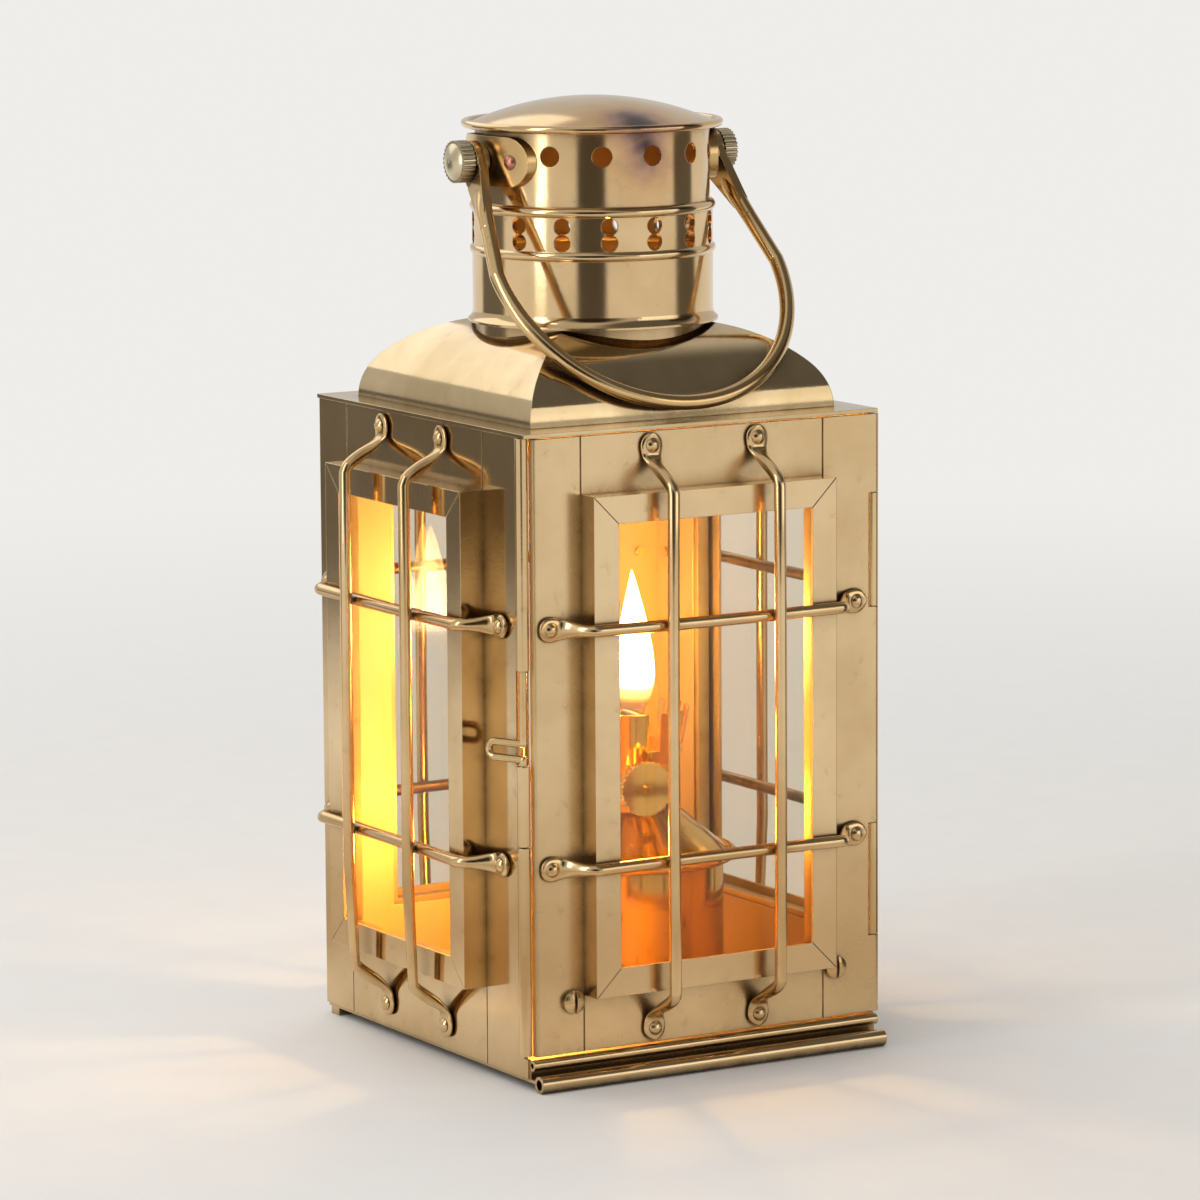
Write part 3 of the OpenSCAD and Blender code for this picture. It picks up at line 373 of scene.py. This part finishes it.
# Warm tint: partly lamp smoke, partly painted glow of the flame's light.
feed(clear, Color=(0.975, 0.945, 0.89, 1))
mirror = tree.nodes.new("ShaderNodeBsdfGlossy")
feed(mirror, Roughness=0.02, Color=(0.4, 0.4, 0.4, 1))
slant = place.node("ShaderNodeLayerWeight", {}, {"Blend": 0.5}, "Facing")
dusty = mix(tree, smoke * 0.008 + 0.003, clear, film)
show(tree, mix(tree, slant ** 5 * 0.96 + 0.04, dusty, mirror))
dress(pane_glass, "left_pane", "right_pane", "rear_pane", "door_pane")

# The guards are drawn brass wire, forged flat at each end into an eye and bent out over the frame.
# Two cross wires lie on each frame and two uprights lie over them; dome-headed rivets hold the eyes.
wire_brass = brass("wire_brass", (0.80, 0.575, 0.31, 1), (0.64, 0.43, 0.20, 1), rough=0.14, wave=0.15)
wire_radius, eye_radius, eye_thickness, wire_bow = 0.0015, 0.0031, 0.0014, 0.0003


def ease(value):
    """0 to 1, with soft ends."""
    value = min(max(value, 0), 1)
    return value * value * (3 - 2 * value)


def sweep(skin, stations, segments=16):
    """A closed skin through sections, each a matrix that carries the unit circle to its place."""
    ring = bmesh.ops.create_circle(skin, cap_ends=True, segments=segments, radius=1)["verts"]
    bmesh.ops.transform(skin, matrix=stations[0], verts=ring)
    edges = list({edge for vert in ring for edge in vert.link_edges})
    for last, here in zip(stations, stations[1:]):
        grown = bmesh.ops.extrude_edge_only(skin, edges=edges)["geom"]
        ring = {part for part in grown if isinstance(part, bmesh.types.BMVert)}
        edges = [part for part in grown
                 if isinstance(part, bmesh.types.BMEdge) and ring.issuperset(part.verts)]
        bmesh.ops.transform(skin, matrix=here @ last.inverted(), verts=list(ring))
    bmesh.ops.edgeloop_fill(skin, edges=edges)


def section(point, tangent, broad, wide, thick):
    """The matrix of an elliptical section, wide along broad and thick across it."""
    thin = tangent.cross(broad).normalized()
    return Matrix.Translation(point) @ Matrix((broad * wide, thin * thick, tangent)).transposed().to_4x4()


def forged_wire(skin, first, last, out, height, edges, bow):
    """A guard wire from eye to eye on a wall. It stands at its full height between the frame's two edges."""
    along = (last - first).normalized()
    across = out.cross(along)
    length = (last - first).length
    steps = [-0.97, -0.9, -0.75, -0.55, -0.3, 0, 0.3, 0.55, 0.8, 1.05, 1.3, 1.6, 1.9, 2.2, 2.5, 2.8, 3.1, 3.5]
    near = [step * eye_radius for step in steps]
    far = [length - place for place in reversed(near)]
    places = near + [length * part / 12 for part in range(3, 10)] + far
    flat, bend, taper, nudge = eye_thickness / 2, 0.7 * eye_radius, 2.5 * eye_radius, 1e-4

    def lift(place):
        inward = min(place, length - place)
        full = edges[0] if place < length / 2 else length - edges[1]
        return flat + (height - flat) * ease((inward - bend) / (full - bend))

    stations = []
    for place in places:
        inward = min(place, length - place)
        wide = math.sqrt(eye_radius ** 2 - min(inward, 0) ** 2)
        wide = wire_radius + (wide - wire_radius) * (1 - ease(inward / taper))
        thick = flat + (wire_radius - flat) * ease((inward / eye_radius - 0.9) / 1.4)
        climb = lift(place + nudge) - lift(place - nudge)
        tangent = (along * 2 * nudge + out * climb).normalized()
        aside = bow * math.sin(math.pi * place / length)
        point = first + along * place + out * lift(place) + across * aside
        stations.append(section(point, tangent, across, wide, thick))
    sweep(skin, stations)


def finish_piece(skin, name, material, body, node=None):
    """Makes a smooth object of a skin, riding a body, in place of a CAD node if one is named."""
    bmesh.ops.recalc_face_normals(skin, faces=skin.faces)
    piece = bpy.data.objects.new(name, bpy.data.meshes.new(name))
    skin.to_mesh(piece.data)
    skin.free()
    piece.data.shade_smooth()
    piece.data.materials.append(material)
    scene.collection.objects.link(piece)
    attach(piece, body)
    if node:
        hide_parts(node)


for side, out in (("door", (0, -1, 0)), ("rear", (0, 1, 0)), ("left", (-1, 0, 0)), ("right", (1, 0, 0))):
    out = Vector(out)
    across = out.cross(Vector((0, 0, 1)))
    frame_low, frame_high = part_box(side + "_frame")
    for kind in ("uprights", "crossbars"):
        low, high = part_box(side + "_" + kind)
        reach = abs((high - low).dot(out)) - wire_radius
        wall = out * min(abs(low.dot(out)), abs(high.dot(out)))
        middle = (low + high) / 2
        half_width = abs((high - low).dot(across)) / 2 - eye_radius
        half_height = (high.z - low.z) / 2 - eye_radius
        skin = bmesh.new()
        for sign in (-1, 1):
            if kind == "uprights":
                place = wall + across * (middle.dot(across) + sign * half_width)
                ends = [place + Vector((0, 0, z)) for z in (low.z + eye_radius, high.z - eye_radius)]
                edges = [frame_low.z - ends[0].z, frame_high.z - ends[0].z]
            else:
                place = wall + Vector((0, 0, middle.z + sign * half_height))
                ends = [place + across * (middle.dot(across) + end * half_width) for end in (-1, 1)]
                spans = sorted((frame_low.dot(across), frame_high.dot(across)))
                edges = [span - ends[0].dot(across) for span in spans]
            forged_wire(skin, *ends, out, reach, edges, sign * wire_bow)
        finish_piece(skin, "%s_guard_%s" % (side, kind), wire_brass, "door" if side == "door" else "case",
                     side + "_" + kind)
dress(wire_brass, "left_rivets", "right_rivets", "rear_rivets", "door_rivets", "door_screws")

# The hinge pin and the wire catch turn in tubes rolled from the edges of the walls and the door.
# They are of the same drawn wire as the guards.
dress(wire_brass, "hinge_pin", "catch")

# The top plate, the vaulted hood, the chimney drum and its domed cap are thin sheet, raised and soldered.
# The flame has stained the cap and the upper drum where its heat comes out, and has sooted their inside.
roof_brass = brass("roof_brass", (0.75, 0.58, 0.345, 1), (0.57, 0.42, 0.22, 1), wave=0.55, marks=1.2)
dress(roof_brass, "top_plate", "hood")
chimney_bore, sooted = 0.02851, (0.40, 0.25, 0.09, 1)


def within_roof(place):
    """1 on the faces that look into the chimney."""
    flat = place.vector("MULTIPLY", place, (1, 1, 0))
    off = flat.vector("LENGTH", flat, out="Value")
    looks = place.node("ShaderNodeNewGeometry", out="Normal")
    outward = looks.vector("DOT_PRODUCT", looks, place, out="Value").rise(-1e-4, 1e-4)
    return (1 - off.rise(chimney_bore - hair, chimney_bore + hair)) * (1 - outward)


def heat_stain(name, colour, deep, top, foot):
    """Brass with the dark, straw-edged stain that hot air leaves along a track from top to foot."""
    material = brass(name, colour, deep, rough=0.08, wave=0.25, inner=within_roof, lining=sooted)
    surface = material.node_tree.nodes["Principled BSDF"]
    tone = Tone(surface.inputs["Base Color"].links[0].from_socket)
    place = Tone(material.node_tree.nodes["Texture Coordinate"].outputs["Object"])
    far = None
    for part in (0, 0.33, 0.67, 1):
        spot = Vector(top).lerp(Vector(foot), part)
        off = place.vector("DISTANCE", place, spot, out="Value") + part * 0.003
        far = off if far is None else far.least(off)
    ragged = far + (place.noise(150, 3) - 0.5) * 0.007
    for near, gone, strength, stain in ((0.007, 0.020, 0.6, (0.60, 0.32, 0.13, 1)),
                                        (0.004, 0.012, 0.7, (0.28, 0.16, 0.17, 1)),
                                        (0.001, 0.0078, 0.95, (0.045, 0.032, 0.036, 1))):
        tone = ((1 - ragged.rise(near, gone)) * strength).blend(tone, stain)
    feed(surface, Base_Color=tone)
    return material


drum_brass = heat_stain("drum_brass", (0.83, 0.61, 0.35, 1), (0.67, 0.47, 0.24, 1),
                        (-0.0030, -0.0268, 0.2325), (-0.0015, -0.0292, 0.2225))
dress(drum_brass, "drum", "cap")

# The bail hangs on shouldered studs, which are riveted through straps on the drum, under knurled knobs.
# The rivets of the straps are copper.
bail_brass = brass("bail_brass", (0.79, 0.56, 0.28, 1), (0.62, 0.41, 0.18, 1), rough=0.15, wave=0.2)
dress(bail_brass, "bail", "left_bracket", "right_bracket", "left_stud", "right_stud")
knob_brass = brass("knob_brass", (0.72, 0.62, 0.42, 1), (0.55, 0.46, 0.30, 1), rough=0.22, wave=0.1,
                   marks=1.3)
dress(knob_brass, "left_knob", "right_knob")
copper = brass("copper", (0.74, 0.36, 0.27, 1), (0.60, 0.25, 0.18, 1), rough=0.25, wave=0.1)
dress(copper, "bracket_rivets")

# Each end of the bail is forged flat, and a neck swells from the flat blade into the round rod.
# The sizes are those of the solid. Each station of a neck has its place, half width and half thickness.
low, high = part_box("bail")
rod_radius, eye_reach, bail_reach, bow_radius, eye_off = 0.0019, 0.005, 0.0745, 0.040, 0.0344
neck_stations = (
    (0.0040, 0.00345, 0.00110), (0.0060, 0.00310, 0.00132), (0.0080, 0.00277, 0.00165),
    (0.0100, 0.00247, 0.00193), (0.0120, 0.00220, 0.00202), (0.0140, 0.00202, 0.00198),
    (0.0165, 0.00193, 0.00193), (0.0180, 0.00186, 0.00186))
axle = high.z - eye_reach
lean = math.acos((axle - low.z - rod_radius) / bail_reach)
hang = Matrix.Translation((0, 0, axle)) @ Matrix.Rotation(-lean, 4, "X")
necks = bmesh.new()
for side in (-1, 1):
    blade = Vector((side * eye_off, 0, rod_radius / 2 - eye_reach))
    along = (Vector((side * bow_radius, 0, bow_radius - bail_reach)) - blade).normalized()
    sweep(necks, [hang @ section(blade + along * place, along, Vector((0, 1, 0)), wide, thick)
                  for place, wide, thick in neck_stations], 24)
finish_piece(necks, "bail_necks", bail_brass, "bail")

# The lamp is a drawn brass font with a rolled brim, and on it a burner: collar, cup, gallery of prongs,
# wick tube, and a winder with a thumbwheel.
# Its gold is deeper and more orange than the case's brass: painted warm flame light, so that what it mirrors
# looks golden.
lamp_brass = brass("lamp_brass", (0.92, 0.62, 0.22, 1), (0.78, 0.49, 0.14, 1), rough=0.09, wave=0.15,
                   dull=0.08)
dress(lamp_brass, "font", "font_top", "burner_collar", "burner_cup", "gallery", "wick_tube", "spindle",
      "sprockets", "thumbwheel")

# The wick is flat woven cotton, charred where it burns.
# It is turned with the lamp, which stands a little askew in the case.
low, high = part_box("wick")
middle = (low + high) / 2
wick_thickness, wick_width, wick_edge = 0.0018, 0.011, 0.0004
lamp_turn = Matrix.Rotation(math.radians(-7), 4, "Z")
thread_dark, thread_pale, charred = (0.55, 0.49, 0.38, 1), (0.80, 0.75, 0.63, 1), (0.02, 0.016, 0.013, 1)
cotton, cotton_surface, place = shader("wick_cotton")
weft = place.node("ShaderNodeTexWave", {"bands_direction": "Z"}, {"Vector": place, "Scale": 500.0})
warp = place.node("ShaderNodeTexWave", {"bands_direction": "Y"}, {"Vector": place, "Scale": 420.0})
weave = weft * warp
char = place.axis("Z").rise(high.z - 0.006, high.z - 0.0015)
feed(cotton_surface, Roughness=0.95, Base_Color=char.blend(weave.blend(thread_dark, thread_pale), charred),
     Normal=place.node("ShaderNodeBump", {}, {"Strength": 0.6, "Distance": 0.0003, "Height": weave}))
tape = bmesh.new()
bmesh.ops.create_cube(tape, size=1)
bmesh.ops.scale(tape, verts=tape.verts, vec=(wick_thickness, wick_width, high.z - low.z))
long_edges = [edge for edge in tape.edges if abs(edge.verts[0].co.z - edge.verts[1].co.z) > wick_width]
bmesh.ops.subdivide_edges(tape, edges=long_edges, cuts=23, use_grid_fill=True)
sharp_edges = [edge for edge in tape.edges
               if abs(edge.verts[0].co.x) > wick_thickness * 0.45 and edge.calc_face_angle(0) > 1]
bmesh.ops.bevel(tape, geom=sharp_edges, offset=wick_edge, offset_type="OFFSET", affect="EDGES", segments=2,
                profile=0.5, material=-1)
bmesh.ops.rotate(tape, verts=tape.verts, cent=(0, 0, 0), matrix=lamp_turn)
bmesh.ops.translate(tape, verts=tape.verts, vec=middle)
finish_piece(tape, "wick_tape", cotton, "wick", "wick")

# The flame stands at the burner's mouth, over the end of the wick, and stays there as the wick is wound.
# It is a flat tongue, clear at its foot, white-hot in the middle and orange at its tip.
fire, fire_surface, place = shader("flame")
flame_foot, flame_tip = high.z - 0.0008, high.z + 0.0365
flame_thin, flame_broad, flame_sway = 0.0057, 0.0074, 0.0006
flame_belly, flame_fullness, flame_taper = 0.62, 0.8, 0.35
rise = (place.axis("Z") - flame_foot) / (flame_tip - flame_foot)
heat = rise.ramp((0.0, (0.003, 0.003, 0.008)), (0.10, (0.014, 0.006, 0.0015)), (0.20, (0.09, 0.045, 0.012)),
                 (0.34, (1.0, 0.80, 0.46)), (0.68, (1.0, 0.74, 0.30)), (1.0, (1.0, 0.40, 0.06)))
rim = rise.node("ShaderNodeLayerWeight", {}, {"Blend": 0.35}, "Facing").rise(0.25, 0.95)
feed(fire_surface, Base_Color=(0, 0, 0, 1), Roughness=1.0, Specular_IOR_Level=0.0, Emission_Strength=60.0,
     Emission_Color=rim.blend(heat, (0.016, 0.006, 0.0006, 1)),
     Alpha=rise.rise(-0.02, 0.20) * (1 - rim * 0.75))
tongue = bmesh.new()
bmesh.ops.create_uvsphere(tongue, u_segments=40, v_segments=40, radius=1)
for vert in tongue.verts:
    part = (vert.co.z + 1) / 2
    girth = 0
    if 0 < part < 1:
        girth = math.sin(math.pi * part ** flame_belly) ** flame_fullness * (1 - flame_taper * part)
    flat = math.hypot(vert.co.x, vert.co.y) or 1
    vert.co = Vector((vert.co.x / flat * girth * flame_thin + flame_sway * math.sin(3 * part),
                      vert.co.y / flat * girth * flame_broad,
                      flame_foot + part * (flame_tip - flame_foot)))
bmesh.ops.remove_doubles(tongue, verts=tongue.verts, dist=1e-6)
bmesh.ops.rotate(tongue, verts=tongue.verts, cent=(0, 0, 0), matrix=lamp_turn)
bmesh.ops.translate(tongue, verts=tongue.verts, vec=(middle.x, middle.y, 0))
finish_piece(tongue, "flame", fire, "case")

# The flame's light, and the glow that the inside throws about below the burner and up into the chimney.
# The panes mirror the flame itself, and the sill lies outside the door, so these lamps don't light them.
unlit = bpy.data.collections.new("unlit")
for node in ("left_pane", "right_pane", "rear_pane", "door_pane", "front_sill"):
    unlit.objects.link(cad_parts[node])
for entry in unlit.collection_objects:
    entry.light_linking.link_state = "EXCLUDE"
flame_colour, flame_size = (1.0, 0.56, 0.13), 0.006
for name, spot, power in (("flame_light", (middle.x, middle.y, high.z + 0.016), 0.85),
                          ("glow_front", (middle.x - 0.014, -0.036, 0.078), 0.03),
                          ("glow_low", (middle.x - 0.030, middle.y + 0.006, 0.046), 0.17),
                          ("glow_high", (0.006, 0.010, 0.184), 0.0018)):
    glow = bpy.data.lights.new(name, "POINT")
    glow.energy, glow.color, glow.shadow_soft_size = power, flame_colour, flame_size
    glow_object = bpy.data.objects.new(name, glow)
    glow_object.location = spot
    glow_object.light_linking.receiver_collection = unlit
    scene.collection.objects.link(glow_object)
